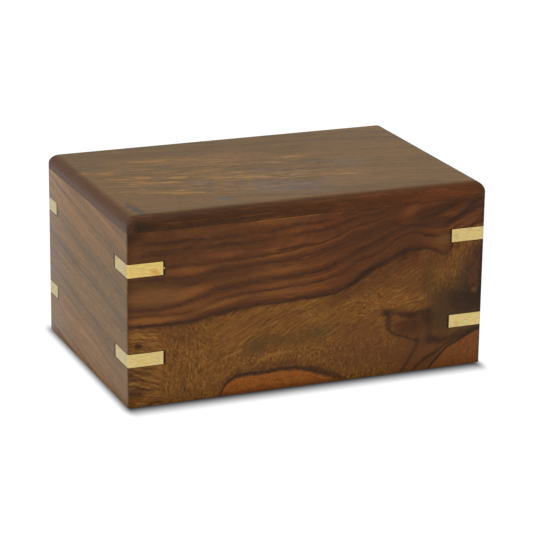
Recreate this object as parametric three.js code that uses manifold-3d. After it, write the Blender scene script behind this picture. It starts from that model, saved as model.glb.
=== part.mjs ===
// Rosewood box urn with flush brass corner keys.
//
// Millimetres, +Z up. The origin is the centre of the underside, +X runs along the length and the front
// looks towards -Y. Four mitred walls carry a top board with a rounded edge. A bottom board sits in a
// rebate in the walls and is held by four wood screws, so the chamber for the ashes is filled from below.
// Two brass keys cross each upright corner, let in flush with the wood.

import * as THREE from "three";
import { mergeVertices } from "three/addons/utils/BufferGeometryUtils.js";
import Module from "manifold-3d";

// The whole box
const LENGTH = 150.6;
const WIDTH = 99.9;
const HEIGHT = 76.2;

// Boards
const WALL = 10;
const TOP_THICKNESS = 6.2;
const TOP_ROUNDING = 4.3; // quarter-round along the top board's edges
const ARRIS_RADIUS = 0.9; // sanded upright corners
const BASE_THICKNESS = 6;
const BASE_LIP = 3.5; // what the rebate leaves of each wall outside the bottom board
const BASE_CLEARANCE = 0.3; // lets the bottom board lift out
const MITRE_GAP = 0.1; // glue line between two walls

// Brass keys: straps bent round a corner. A leg is measured from the corner to the key's end.
const KEY_HEIGHT = 5.35;
const KEY_THICKNESS = 1.5;
const KEY_LEVELS = { lower: 19.1, upper: 55.1 }; // middle of the key above the underside
const KEY_LEG_ON_LONG_WALL = 14.4;
const KEY_LEG_ON_SHORT_WALL = { front: 14.7, back: 10.8 };
const KEY_END_GAP = 0.35; // glue line at the key's ends and behind it
const KEY_EDGE_GAP = 0.15; // glue line above and below it

// Countersunk wood screws, driven up through the bottom board into the long walls
const SCREW_FROM_END = 24; // the screw's axis, from the box's end
const SCREW_FROM_FACE = 7; // and from its front or back face, over the ledge that the rebate leaves
const SCREW_LENGTH = 16;
const SCREW_POINT = 3;
const SHANK_RADIUS = 1.2;
const HEAD_RADIUS = 2.4;
const HEAD_CONE = 1.3;
const HEAD_RIM = 0.3;
const HEAD_SUNK = 0.4; // head below the surface of the board
const SLOT_WIDTH = 0.7;
const SLOT_DEPTH = 0.8;
const SCREW_GAP = 0.3;

// Fineness of the round shapes
const ARRIS_STEPS = 4;
const ROUNDING_STEPS = 10;
const SCREW_SIDES = 24;

const WALL_HEIGHT = HEIGHT - TOP_THICKNESS;
const CUT_PAST = 2; // how far a cutting solid runs past the surface that it cuts
const SAME_POINT = 1e-5; // vertices closer than this are one
const SIDES = { left: -1, right: 1 };
const ENDS = { front: -1, back: 1 };

function finish(color, roughness, metalness) {
  return new THREE.MeshStandardMaterial({ color, roughness, metalness, flatShading: true });
}
const rosewood = finish(0x6a4529, 0.42, 0);
const topRosewood = finish(0x6b5136, 0.38, 0);
const baseRosewood = finish(0x70502f, 0.55, 0);
const brass = finish(0xd6b768, 0.32, 1);
const screwBrass = finish(0xb9994f, 0.4, 1);

const wasm = await Module();
wasm.setup();

// A closed three.js geometry as a solid that can be cut.
function solidOf(geometry) {
  const bare = new THREE.BufferGeometry();
  bare.setAttribute("position", geometry.getAttribute("position"));
  bare.setIndex(geometry.getIndex());
  const merged = mergeVertices(bare, SAME_POINT);
  const vertProperties = new Float32Array(merged.getAttribute("position").array);
  const triVerts = new Uint32Array(merged.getIndex().array);
  return new wasm.Manifold(new wasm.Mesh({ numProp: 3, vertProperties, triVerts }));
}

// A cut solid as a three.js geometry.
function geometryOf(solid) {
  const mesh = solid.getMesh();
  const geometry = new THREE.BufferGeometry();
  geometry.setAttribute("position", new THREE.BufferAttribute(new Float32Array(mesh.vertProperties), 3));
  geometry.setIndex(new THREE.BufferAttribute(new Uint32Array(mesh.triVerts), 1));
  geometry.computeVertexNormals();
  return geometry;
}

// An upright prism over a plan outline, from one height to another.
function prism(outline, low, high) {
  const shape = new THREE.Shape(outline);
  const geometry = new THREE.ExtrudeGeometry(shape, { depth: high - low, bevelEnabled: false });
  geometry.translate(0, 0, low);
  return geometry;
}

// A block centred on the upright axis through the origin.
function block(length, width, low, high) {
  const geometry = new THREE.BoxGeometry(length, width, high - low);
  geometry.translate(0, 0, (low + high) / 2);
  return geometry;
}

// Plan of a rectangle with rounded corners, anticlockwise from the +X, -Y corner.
function roundedRectangle(length, width, radius) {
  const outline = [];
  for (let quarter = 0; quarter < 4; quarter += 1) {
    const sideX = quarter === 0 || quarter === 1 ? 1 : -1;
    const sideY = quarter === 1 || quarter === 2 ? 1 : -1;
    const centre = new THREE.Vector2(sideX * (length / 2 - radius), sideY * (width / 2 - radius));
    for (let step = 0; step <= ARRIS_STEPS; step += 1) {
      const angle = (quarter - 1 + step / ARRIS_STEPS) * (Math.PI / 2);
      const spoke = new THREE.Vector2(Math.cos(angle), Math.sin(angle)).multiplyScalar(radius);
      outline.push(spoke.add(centre));
    }
  }
  return outline;
}

// A point near a corner: `along` from the box's end and `across` from its front or back face.
function nearCorner(sideX, sideY, along, across) {
  return new THREE.Vector2(sideX * (LENGTH / 2 - along), sideY * (WIDTH / 2 - across));
}

// The board on top: level rings of one outline, drawn in along a quarter circle towards the top face.
function topBoardGeometry() {
  const rings = [[0, WALL_HEIGHT]];
  for (let step = 0; step <= ROUNDING_STEPS; step += 1) {
    const angle = (step / ROUNDING_STEPS) * (Math.PI / 2);
    const inset = TOP_ROUNDING * (1 - Math.cos(angle));
    rings.push([inset, HEIGHT - TOP_ROUNDING * (1 - Math.sin(angle))]);
  }
  const positions = [];
  for (const [inset, z] of rings) {
    for (const point of roundedRectangle(LENGTH - 2 * inset, WIDTH - 2 * inset, ARRIS_RADIUS)) {
      positions.push(point.x, point.y, z);
    }
  }
  const ringSize = positions.length / 3 / rings.length;
  const underCentre = positions.length / 3;
  const topCentre = underCentre + 1;
  positions.push(0, 0, WALL_HEIGHT, 0, 0, HEIGHT);
  const indices = [];
  const lastRing = (rings.length - 1) * ringSize;
  for (let i = 0; i < ringSize; i += 1) {
    const next = (i + 1) % ringSize;
    indices.push(underCentre, next, i);
    indices.push(topCentre, lastRing + i, lastRing + next);
    for (let ring = 0; ring < rings.length - 1; ring += 1) {
      const low = ring * ringSize;
      const high = low + ringSize;
      indices.push(low + i, low + next, high + next);
      indices.push(low + i, high + next, high + i);
    }
  }
  const geometry = new THREE.BufferGeometry();
  geometry.setAttribute("position", new THREE.Float32BufferAttribute(positions, 3));
  geometry.setIndex(indices);
  geometry.computeVertexNormals();
  return geometry;
}

// One key: an L-shaped strap whose outer corner is sanded with the wood.
function keyGeometry(sideX, sideY, legAcross, level) {
  const outline = [];
  for (let step = 0; step <= ARRIS_STEPS; step += 1) {
    const angle = (step / ARRIS_STEPS) * (Math.PI / 2);
    const along = ARRIS_RADIUS * (1 - Math.sin(angle));
    const across = ARRIS_RADIUS * (1 - Math.cos(angle));
    outline.push(nearCorner(sideX, sideY, along, across));
  }
  outline.push(
    nearCorner(sideX, sideY, 0, legAcross),
    nearCorner(sideX, sideY, KEY_THICKNESS, legAcross),
    nearCorner(sideX, sideY, KEY_THICKNESS, KEY_THICKNESS),
    nearCorner(sideX, sideY, KEY_LEG_ON_LONG_WALL, KEY_THICKNESS),
    nearCorner(sideX, sideY, KEY_LEG_ON_LONG_WALL, 0),
  );
  return prism(outline, level - KEY_HEIGHT / 2, level + KEY_HEIGHT / 2);
}

// The recess that a key lies in, cut from outside the corner.
function keyRecess(sideX, sideY, legAcross, level) {
  const floor = KEY_THICKNESS + KEY_END_GAP;
  const outline = [
    nearCorner(sideX, sideY, -CUT_PAST, -CUT_PAST),
    nearCorner(sideX, sideY, -CUT_PAST, legAcross + KEY_END_GAP),
    nearCorner(sideX, sideY, floor, legAcross + KEY_END_GAP),
    nearCorner(sideX, sideY, floor, floor),
    nearCorner(sideX, sideY, KEY_LEG_ON_LONG_WALL + KEY_END_GAP, floor),
    nearCorner(sideX, sideY, KEY_LEG_ON_LONG_WALL + KEY_END_GAP, -CUT_PAST),
  ];
  const reach = KEY_HEIGHT / 2 + KEY_EDGE_GAP;
  return solidOf(prism(outline, level - reach, level + reach));
}

// A turned shape about the upright axis: points are [radius, height], from the bottom up.
function turned(points) {
  const profile = points.map(([radius, height]) => new THREE.Vector2(radius, height));
  const geometry = new THREE.LatheGeometry(profile, SCREW_SIDES);
  geometry.rotateX(Math.PI / 2);
  return geometry;
}

function screwGeometry(sideX, sideY) {
  const cone = HEAD_SUNK + HEAD_RIM + HEAD_CONE;
  const screw = solidOf(turned([
    [0, HEAD_SUNK],
    [HEAD_RADIUS, HEAD_SUNK],
    [HEAD_RADIUS, HEAD_SUNK + HEAD_RIM],
    [SHANK_RADIUS, cone],
    [SHANK_RADIUS, SCREW_LENGTH - SCREW_POINT],
    [0, SCREW_LENGTH],
  ]));
  const slot = solidOf(block(2 * HEAD_RADIUS + CUT_PAST, SLOT_WIDTH, -CUT_PAST, HEAD_SUNK + SLOT_DEPTH));
  const place = nearCorner(sideX, sideY, SCREW_FROM_END, SCREW_FROM_FACE);
  return geometryOf(screw.subtract(slot)).translate(place.x, place.y, 0);
}

// The countersunk hole for a screw, through the bottom board and on into the wall.
function screwHole(sideX, sideY) {
  const mouth = HEAD_RADIUS + SCREW_GAP;
  const bore = SHANK_RADIUS + SCREW_GAP;
  const rim = HEAD_SUNK + HEAD_RIM + SCREW_GAP;
  const geometry = turned([
    [0, -CUT_PAST],
    [mouth, -CUT_PAST],
    [mouth, rim],
    [bore, rim + HEAD_CONE],
    [bore, SCREW_LENGTH + SCREW_GAP],
    [0, SCREW_LENGTH + SCREW_GAP],
  ]);
  const place = nearCorner(sideX, sideY, SCREW_FROM_END, SCREW_FROM_FACE);
  geometry.translate(place.x, place.y, 0);
  return solidOf(geometry);
}

// Calls make(sideX, sideY, sideName, endName) for the four corners of the box.
function forEachCorner(make) {
  for (const [endName, sideY] of Object.entries(ENDS)) {
    for (const [sideName, sideX] of Object.entries(SIDES)) {
      make(sideX, sideY, sideName, endName);
    }
  }
}

// The four walls as one frame, with the rebate, the key recesses and the screw holes cut.
function wallFrame() {
  const low = -CUT_PAST;
  const high = WALL_HEIGHT + CUT_PAST;
  let frame = solidOf(prism(roundedRectangle(LENGTH, WIDTH, ARRIS_RADIUS), 0, WALL_HEIGHT));
  frame = frame.subtract(solidOf(block(LENGTH - 2 * WALL, WIDTH - 2 * WALL, low, high)));
  frame = frame.subtract(solidOf(block(LENGTH - 2 * BASE_LIP, WIDTH - 2 * BASE_LIP, low, BASE_THICKNESS)));
  forEachCorner((sideX, sideY, sideName, endName) => {
    for (const level of Object.values(KEY_LEVELS)) {
      frame = frame.subtract(keyRecess(sideX, sideY, KEY_LEG_ON_SHORT_WALL[endName], level));
    }
    frame = frame.subtract(screwHole(sideX, sideY));
  });
  return frame;
}

// The space that one wall keeps between its two 45-degree mitres. The wall faces -Y before the turn.
function mitredSpace(run, depth, quarterTurns) {
  const reach = WALL + CUT_PAST;
  const glue = MITRE_GAP / Math.SQRT2;
  const outer = run / 2 + reach - glue;
  const inner = run / 2 - reach - glue;
  const outline = [
    new THREE.Vector2(-outer, -depth / 2 - reach),
    new THREE.Vector2(outer, -depth / 2 - reach),
    new THREE.Vector2(inner, -depth / 2 + reach),
    new THREE.Vector2(-inner, -depth / 2 + reach),
  ];
  const geometry = prism(outline, -CUT_PAST, WALL_HEIGHT + CUT_PAST);
  geometry.rotateZ(quarterTurns * (Math.PI / 2));
  return solidOf(geometry);
}

function bottomBoardGeometry() {
  const less = 2 * (BASE_LIP + BASE_CLEARANCE);
  let board = solidOf(block(LENGTH - less, WIDTH - less, 0, BASE_THICKNESS));
  forEachCorner((sideX, sideY) => {
    board = board.subtract(screwHole(sideX, sideY));
  });
  return geometryOf(board);
}

const urn = new THREE.Group();
urn.name = "urn";

function add(name, geometry, material) {
  const mesh = new THREE.Mesh(geometry, material);
  mesh.name = name;
  urn.add(mesh);
}

const frame = wallFrame();
const walls = [
  ["front_wall", LENGTH, WIDTH, 0],
  ["right_wall", WIDTH, LENGTH, 1],
  ["back_wall", LENGTH, WIDTH, 2],
  ["left_wall", WIDTH, LENGTH, 3],
];
for (const [name, run, depth, quarterTurns] of walls) {
  add(name, geometryOf(frame.intersect(mitredSpace(run, depth, quarterTurns))), rosewood);
}
add("top_board", topBoardGeometry(), topRosewood);
add("bottom_board", bottomBoardGeometry(), baseRosewood);

forEachCorner((sideX, sideY, sideName, endName) => {
  for (const [levelName, level] of Object.entries(KEY_LEVELS)) {
    const geometry = keyGeometry(sideX, sideY, KEY_LEG_ON_SHORT_WALL[endName], level);
    add(`key_${endName}_${sideName}_${levelName}`, geometry, brass);
  }
  add(`screw_${endName}_${sideName}`, screwGeometry(sideX, sideY), screwBrass);
});

export default urn;
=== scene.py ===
# %% [markdown]
# # A rosewood box urn with flush brass corner keys
#
# The real urn is a small box of sheesham, an Indian rosewood: four mitred walls, a top board with a
# rounded edge, a base board screwed on from below, and eight brass keys let in flush across the upright
# corners. The solid model already has every piece at its real size. This script gives the pieces their
# finish, sets a floor and soft light around them and points a camera at them.

import math

import bmesh
import bpy
from mathutils import Matrix, Vector


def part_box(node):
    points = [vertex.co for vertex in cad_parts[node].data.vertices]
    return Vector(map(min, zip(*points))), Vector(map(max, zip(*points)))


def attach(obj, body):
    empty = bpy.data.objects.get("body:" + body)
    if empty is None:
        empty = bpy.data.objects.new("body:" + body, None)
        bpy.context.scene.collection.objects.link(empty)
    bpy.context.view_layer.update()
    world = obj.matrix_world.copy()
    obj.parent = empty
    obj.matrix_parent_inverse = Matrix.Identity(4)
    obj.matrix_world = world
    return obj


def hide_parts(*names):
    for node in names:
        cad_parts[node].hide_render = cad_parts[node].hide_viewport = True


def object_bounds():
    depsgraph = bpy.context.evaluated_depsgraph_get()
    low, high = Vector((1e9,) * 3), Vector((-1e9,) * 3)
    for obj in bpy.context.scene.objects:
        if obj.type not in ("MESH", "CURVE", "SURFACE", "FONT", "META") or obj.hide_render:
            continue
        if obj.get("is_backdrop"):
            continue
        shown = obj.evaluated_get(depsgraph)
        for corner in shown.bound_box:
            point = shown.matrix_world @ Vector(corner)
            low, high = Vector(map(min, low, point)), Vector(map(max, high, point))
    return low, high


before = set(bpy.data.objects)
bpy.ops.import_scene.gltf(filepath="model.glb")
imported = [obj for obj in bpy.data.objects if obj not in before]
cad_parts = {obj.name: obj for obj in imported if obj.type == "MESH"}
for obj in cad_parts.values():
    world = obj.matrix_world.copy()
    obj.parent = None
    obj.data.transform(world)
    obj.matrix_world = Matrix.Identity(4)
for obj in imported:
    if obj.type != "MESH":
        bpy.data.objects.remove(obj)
cad_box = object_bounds()
low, high = Vector(cad_box[0]), Vector(cad_box[1])
MM = 0.001
LENGTH, WIDTH, HEIGHT = (side / MM for side in high - low)
print(f"the urn is {LENGTH:.1f} x {WIDTH:.1f} x {HEIGHT:.1f} mm")

# %% [markdown]
# ## Shader maths as Python
#
# A procedural finish is arithmetic on the place of a point, and in Blender each sum or product is a node.
# Wiring them by hand hides the formula, so a small class wraps a socket: adding two of them adds a Math
# node, and the formula stays readable. Everything that is not arithmetic comes from one method, node().

# %% A socket that can be used in an expression
RAMP_STOPS = "stops"
RAMP_ALPHA = 1
COLOUR_STOPS = "colour stops"
CURVE_POINTS = "points"


class Field:
    """A value that changes over a surface: one output socket of a shader tree."""

    def __init__(self, tree, socket=None):
        self.tree = tree
        self.socket = socket

    def node(self, kind, settings=None, sockets=None, output=0):
        """Adds a node: its settings first, then the values or links of its sockets."""
        made = self.tree.nodes.new("ShaderNode" + kind)
        for name, value in (settings or {}).items():
            if name == RAMP_STOPS:
                fill_ramp(made.color_ramp, [(place, (share, share, share, share)) for place, share in value])
            elif name == COLOUR_STOPS:
                fill_ramp(made.color_ramp, value)
            elif name == CURVE_POINTS:
                fill_curve(made.mapping, value)
            else:
                setattr(made, name, value)
        for name, value in (sockets or {}).items():
            if isinstance(value, Field):
                self.tree.links.new(value.socket, made.inputs[name])
            else:
                made.inputs[name].default_value = value
        return Field(self.tree, made.outputs[output])

    def math(self, operation, *values):
        """One Math node on these values."""
        return self.node("Math", {"operation": operation}, dict(enumerate(values)))

    def __add__(self, other):
        return self.math("ADD", self, other)

    def __radd__(self, other):
        return self.math("ADD", other, self)

    def __sub__(self, other):
        return self.math("SUBTRACT", self, other)

    def __rsub__(self, other):
        return self.math("SUBTRACT", other, self)

    def __mul__(self, other):
        return self.math("MULTIPLY", self, other)

    def __rmul__(self, other):
        return self.math("MULTIPLY", other, self)

    def __truediv__(self, other):
        return self.math("DIVIDE", self, other)

    def __rtruediv__(self, other):
        return self.math("DIVIDE", other, self)

    def __abs__(self):
        return self.math("ABSOLUTE", self)

    def root(self):
        """The square root."""
        return self.math("SQRT", self)

    def dot(self, vector):
        """The dot product of a place and a fixed vector."""
        return self.node("VectorMath", {"operation": "DOT_PRODUCT"}, {0: self, 1: vector}, 1)

    def length(self):
        """The length of a vector."""
        return self.node("VectorMath", {"operation": "LENGTH"}, {0: self}, 1)

    def clamped(self):
        """The value held between 0 and 1."""
        return self.node("Clamp", None, {"Value": self})

    def step(self, start, end, height=1.0):
        """A soft step: 0 up to start, height from end on. It falls where start is above end."""
        settings = {"interpolation_type": "SMOOTHSTEP", "clamp": False}
        if start <= end:
            ends = {"From Min": start, "From Max": end, "To Min": 0.0, "To Max": height}
        else:
            ends = {"From Min": end, "From Max": start, "To Min": height, "To Max": 0.0}
        return self.node("MapRange", settings, {"Value": self, **ends})


def fill_ramp(ramp, stops):
    """Stops of (place, colour) from 0 to 1, in rising order, eased between them."""
    ramp.interpolation = "EASE"
    for index, (place, colour) in enumerate(stops):
        if index < len(ramp.elements):
            element = ramp.elements[index]
            element.position = place
        else:
            element = ramp.elements.new(place)
        element.color = colour


def fill_curve(mapping, points):
    """A smooth curve through a few points of (in, out)."""
    line = mapping.curves[0]
    while len(line.points) < len(points):
        line.points.new(0.5, 0.5)
    for point, place in zip(line.points, points):
        point.location = place
        point.handle_type = "AUTO_CLAMPED"
    mapping.update()


# %% [markdown]
# Colours and places are vectors, which a Math node would flatten to one number, so they have helpers of
# their own. Colours are written as on a paint card, in sRGB, and turned into the linear light that the
# renderer works in. A noise takes the size of its clouds in millimetres, which is easier to check against
# a real board than a scale.

# %% Colours, places and noise
MIX_FACTOR = 0
MIX_COLOUR_A = 6
MIX_COLOUR_B = 7
MIX_COLOUR_OUT = 2


def srgb(card):
    """A colour card such as "#5a3a24" as linear light with alpha."""
    channels = [int(card[i:i + 2], 16) / 255 for i in (1, 3, 5)]
    return [c / 12.92 if c <= 0.04045 else ((c + 0.055) / 1.055) ** 2.4 for c in channels] + [1.0]


def some_field(*values):
    """The first of the values that is a field, to reach its tree."""
    return next(value for value in values if isinstance(value, Field))


def mixed(factor, first, second, blend="MIX"):
    """first where factor is 0, second where it is 1."""
    settings = {"data_type": "RGBA", "blend_type": blend}
    sockets = {MIX_FACTOR: factor, MIX_COLOUR_A: first, MIX_COLOUR_B: second}
    return some_field(factor, first, second).node("Mix", settings, sockets, MIX_COLOUR_OUT)


def joined(x, y, z):
    """Three numbers as one place."""
    return some_field(x, y, z).node("CombineXYZ", None, {"X": x, "Y": y, "Z": z})


def noise(place, clouds, seed=0.0, detail=2.0, roughness=0.5, distortion=0.0):
    """Cloudy noise around 0.5. clouds is the size of one cloud along x, y and z."""
    scale = [1 / size for size in clouds]
    sockets = {0: place, 1: scale, 2: (seed, seed, seed)}
    moved = place.node("VectorMath", {"operation": "MULTIPLY_ADD"}, sockets)
    sockets = {"Vector": moved, "Scale": 1.0, "Detail": detail, "Roughness": roughness}
    sockets["Distortion"] = distortion
    return place.node("TexNoise", {"noise_dimensions": "3D"}, sockets)


# %% [markdown]
# A material starts as a Principled BSDF and the place of each point in millimetres. Constants go straight
# on the shader's own sockets, and only what varies over the surface is linked.

# %% Starting a material
def new_material(name, constants):
    """An empty material: itself, its shader, and the place of a point as one field and as x, y and z."""
    material = bpy.data.materials.new(name)
    material.use_nodes = True
    tree = material.node_tree
    shader = tree.nodes["Principled BSDF"]
    for socket, value in constants.items():
        shader.inputs[socket].default_value = value
    metres = Field(tree).node("TexCoord", output="Object")
    place = metres.node("VectorMath", {"operation": "SCALE"}, {0: metres, "Scale": 1 / MM})
    return material, shader, place, [place.node("SeparateXYZ", None, {0: place}, axis) for axis in range(3)]


def link(shader, socket, field):
    """Feeds one socket of the shader."""
    field.tree.links.new(field.socket, shader.inputs[socket])


def bumped(shader, height, depth, strength):
    """Fine relief in the shading only. depth is in millimetres."""
    sockets = {"Height": height, "Distance": depth * MM, "Strength": strength}
    link(shader, "Normal", height.node("Bump", None, sockets))


# %% [markdown]
# ## Rosewood
#
# Sheesham is a warm red-brown wood with near-black lines where the heartwood colour gathered, and paler
# golden stretches with a curly grain. The finish of each board is worked out at every point of the solid,
# so a line on a face runs on over the edge. An image of wood would be quicker, but it would stop there.

# %% Palette of the wood
BLACK = (0, 0, 0, 1)
WHITE = (1, 1, 1, 1)
INK = srgb("#261a11")
DUSK = srgb("#3e2a1b")
UMBER = srgb("#4b2b17")
BROWN = srgb("#5e371b")
CHESTNUT = srgb("#693d1e")
AMBER = srgb("#764621")
HONEY = srgb("#8a5628")
TAN = srgb("#794e2a")
RUSSET = srgb("#683716")
GOLD = srgb("#764b1b")
OLIVE = srgb("#5a3f1c")
STRAW = srgb("#92652e")
FLAME = srgb("#92531c")
EMBER = srgb("#77431d")
SOOT = srgb("#2c170d")

# What a redder, a darker and a warmer stretch make of the colour
REDDENED = (0.93, 0.84, 0.8, 1)
SHADED = (0.8, 0.8, 0.84, 1)
WARMED = (1.25, 1.14, 1.0, 1)

# Satin lacquer on open-grained wood reflects little, and more at a glance.
LACQUERED = {"IOR": 1.22, "Coat IOR": 1.35, "Coat Roughness": 0.4}


# %% Fibres and pores shared by every board
RIBBON_SHARE = 0.3
STRAND_SHARE = 0.42
FLECK_SHARE = 0.28
PORE_DARKNESS = 0.45
GRAIN_DEPTH = 0.05
GRAIN_BUMP = 0.5


def fibres(grain, seed):
    """Brightness of the fibres around 0.5. The first axis of grain runs along them."""
    ribbons = noise(grain, (38, 2.0, 2.0), seed, 3.0, 0.6)
    strands = noise(grain, (9, 0.5, 0.5), seed + 5, 3.0, 0.65)
    flecks = noise(grain, (1.6, 0.7, 0.7), seed + 9, 2.0, 0.6)
    return ribbons * RIBBON_SHARE + strands * STRAND_SHARE + flecks * FLECK_SHARE


def pores(grain, seed):
    """Short open pores, 1 where one is cut."""
    return noise(grain, (2.4, 0.22, 0.22), seed, 1.0, 0.5).step(0.62, 0.74)


def finish_wood(shader, colour, strands, holes, contrast):
    """Strands lighten and darken the colour, pores darken it and sit below the surface."""
    light = strands * contrast + (1 - contrast / 2)
    toned = mixed(1.0, colour, light, "MULTIPLY")
    toned = mixed(holes * PORE_DARKNESS, toned, INK)
    link(shader, "Base Color", toned)
    link(shader, "Roughness", 0.56 - strands * 0.24 + holes * 0.15)
    bumped(shader, strands - holes, GRAIN_DEPTH, GRAIN_BUMP)


print(f"fibres of {RIBBON_SHARE:.0%} ribbons, {STRAND_SHARE:.0%} strands and {FLECK_SHARE:.0%} flecks")

# %% [markdown]
# The key slots were sawn and the keys pressed in hot with glue, so the wood is dark around the inner end of
# each key. The marks take their place from the keys themselves.

# %% Scorch marks around the keys
SCORCH_FADE = 0.3
SCORCH_RISE = 0.4
SCORCH_DARKNESS = 0.9


def scorch(along, up, side, reach):
    """How burnt the wood is around the inner ends of the keys on one side of the box.

    reach is how far the marks go past the ends of the keys.
    """
    axis = 0 if side in ("front", "back") else 1
    burnt = 0
    for node in sorted(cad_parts):
        if node.startswith("key_") and side in node:
            first, last = [Vector(corner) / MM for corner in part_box(node)]
            inner = min(first[axis], last[axis], key=abs)
            level = (first.z + last.z) / 2
            half = (last.z - first.z) / 2
            outward = along * math.copysign(1, inner)
            start = abs(inner) - reach
            beside = outward.step(start - SCORCH_FADE, start + SCORCH_FADE)
            burnt = beside * abs(up - level).step(half + SCORCH_RISE, half) + burnt
    return burnt.clamped()


# %% [markdown]
# The upright corners are rounded by hand after the walls are glued. Close to them the wood is drawn
# darker.

# %% Darker corners
CORNER_START = 2.4
CORNER_CORE = 0.4
CORNER_DARKNESS = 0.3


def darker_corners(colour, x, y):
    """The colour, darkened near the four upright corners."""
    near_end = abs(x).step(LENGTH / 2 - CORNER_START, LENGTH / 2 - CORNER_CORE)
    near_face = abs(y).step(WIDTH / 2 - CORNER_START, WIDTH / 2 - CORNER_CORE)
    return mixed(near_end * near_face * CORNER_DARKNESS, colour, SOOT)


def marked(colour, x, y, burnt):
    """The colour with its darker corners and its scorch marks."""
    return mixed(burnt * SCORCH_DARKNESS, darker_corners(colour, x, y), SOOT)


# %% [markdown]
# ### The front wall
#
# The front board is the showpiece: dark lines sweep down to the left and climb to the right, over a golden
# field with curly grain. The lines follow five guide curves from end to end, like the ribs that a boat's
# planks bend around. Between two guides the layer value rises by one, so a line drawn at one layer bends as
# its neighbours do.

# %% Guide lines of the front figure
# Points of (x, z) in millimetres, from the edge of the golden field upwards
FIELD_EDGE = [(-75, 32.4), (-60, 31.8), (-50, 31.8), (-44, 32.9), (-35, 34.5), (-25, 35.4), (-12, 36),
              (3, 35.9), (9, 36.4), (14, 37.8), (20, 40.8), (28, 44.6), (35, 47.4), (39, 49.5),
              (43.5, 51.2), (48, 51.2), (54, 49.1), (59, 47.2), (60.5, 48.4), (61.5, 51.5), (64, 56),
              (75, 59.5)]
NEAR_LINE = [(-75, 36.3), (-57, 36.3), (-51, 36.5), (-42, 38.5), (-35, 39.8), (-28, 40.9), (-18, 41.5),
             (0, 42), (10, 44.1), (14, 45.2), (17, 46.8), (20, 48.8), (27, 50.6), (31, 52.4),
             (37, 56.2), (40.5, 57.8), (44, 58.1), (50, 56.6), (57, 56.2), (64, 59.5), (75, 62.5)]
MIDDLE_LINE = [(-75, 39.3), (-60, 39.1), (-55, 39.8), (-45, 42.2), (-39, 43.8), (-30, 44.8),
               (-15, 45.6), (-5, 46.1), (6, 47.6), (12.5, 49.9), (22, 54), (31, 57.7), (37, 60),
               (50, 61.5), (60, 62), (75, 67)]
FAR_LINE = [(-75, 48.8), (-62, 48.8), (-57, 47.5), (-49, 47.4), (-42, 50.2), (-32, 51.2), (-15, 52.2),
            (0, 53), (10, 55.8), (17, 58.3), (24, 59), (32, 61.6), (45, 65), (75, 71)]
UPPER_LINE = [(-75, 55.4), (-52, 55.4), (-45, 54.8), (-36, 55), (-15, 56.3), (-4, 57.5), (5, 58.4),
              (12.5, 61), (19, 63.4), (26, 64.3), (32, 66), (45, 69), (75, 74)]
GUIDES = [FIELD_EDGE, NEAR_LINE, MIDDLE_LINE, FAR_LINE, UPPER_LINE]
LAYERS = len(GUIDES)
print(LAYERS, "guide lines through", sum(len(points) for points in GUIDES), "points")

# %% [markdown]
# A ramp over the layer value colours the bands. The thin dark lines and the bands that shine are peaks on
# ramps of their own, so that each can fade along the board without changing the bands under it.

# %% Bands and lines of the striped zone
# The colour of the bands, from layer to layer
BANDS = [(0.0, UMBER), (0.22, UMBER), (0.42, CHESTNUT), (0.55, AMBER), (0.85, AMBER), (1.0, UMBER),
         (1.12, BROWN), (1.4, AMBER), (1.65, BROWN), (1.92, UMBER), (2.1, UMBER), (2.3, BROWN),
         (2.45, AMBER), (2.7, BROWN), (2.95, UMBER), (3.2, UMBER), (3.5, BROWN), (3.75, AMBER),
         (3.97, BROWN), (4.07, CHESTNUT), (4.2, BROWN), (4.3, UMBER), (4.38, CHESTNUT), (4.46, UMBER),
         (4.56, CHESTNUT), (4.64, AMBER), (4.8, BROWN), (5.0, CHESTNUT)]
# Thin dark lines and soft dark shades: the layer, how far they fade below and above it, and how dark
THIN_LINES = [(0.5, 0.08, 0.08, 0.15), (1.0, 0.1, 0.14, 0.5), (2.0, 0.14, 0.1, 0.7),
              (2.96, 0.07, 0.05, 0.3), (3.32, 0.06, 0.08, 0.25), (4.0, 0.12, 0.05, 0.5),
              (4.29, 0.03, 0.03, 0.5), (4.46, 0.03, 0.03, 0.5), (4.7, 0.02, 0.02, 0.35)]
# The bands that shine most on the left, in the same way
LIGHT_BANDS = [(0.75, 0.3, 0.2, 0.8), (1.5, 0.3, 0.3, 0.85), (2.4, 0.25, 0.3, 0.8),
               (3.7, 0.3, 0.25, 0.9)]
# The thickness of one layer, for the grain that follows the layers
LAYER_DEPTH = 6
# A float curve runs from 0 to 1, so it stands for this many millimetres either way.
CURVE_REACH = 100


def guide(along, points):
    """A smooth line through a few points, all in millimetres."""
    scaled = [[place / (2 * CURVE_REACH) + 0.5 for place in point] for point in points]
    share = along.math("MULTIPLY_ADD", along, 1 / (2 * CURVE_REACH), 0.5)
    curve = along.node("FloatCurve", {CURVE_POINTS: scaled}, {"Value": share})
    return curve.math("MULTIPLY_ADD", curve, 2 * CURVE_REACH, -CURVE_REACH)


def layer_of(x, z):
    """How many guides lie below a point, rising smoothly from each to the next."""
    heights = [guide(x, points) for points in GUIDES] + [HEIGHT]
    layer = 0
    for lower, upper in zip(heights, heights[1:]):
        layer = ((z - lower) / (upper - lower)).clamped() + layer
    return layer, heights[0]


def layer_ramp(layer, lines):
    """How dark each layer is: one peak for each line."""
    stops = []
    for middle, below, above, depth in lines:
        peak = [(middle - below, 0.0), (middle, depth), (middle + above, 0.0)]
        stops += [(place / LAYERS, share) for place, share in peak]
    return layer.node("ValToRGB", {RAMP_STOPS: sorted(stops)}, {"Fac": layer / LAYERS}, RAMP_ALPHA)


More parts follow.
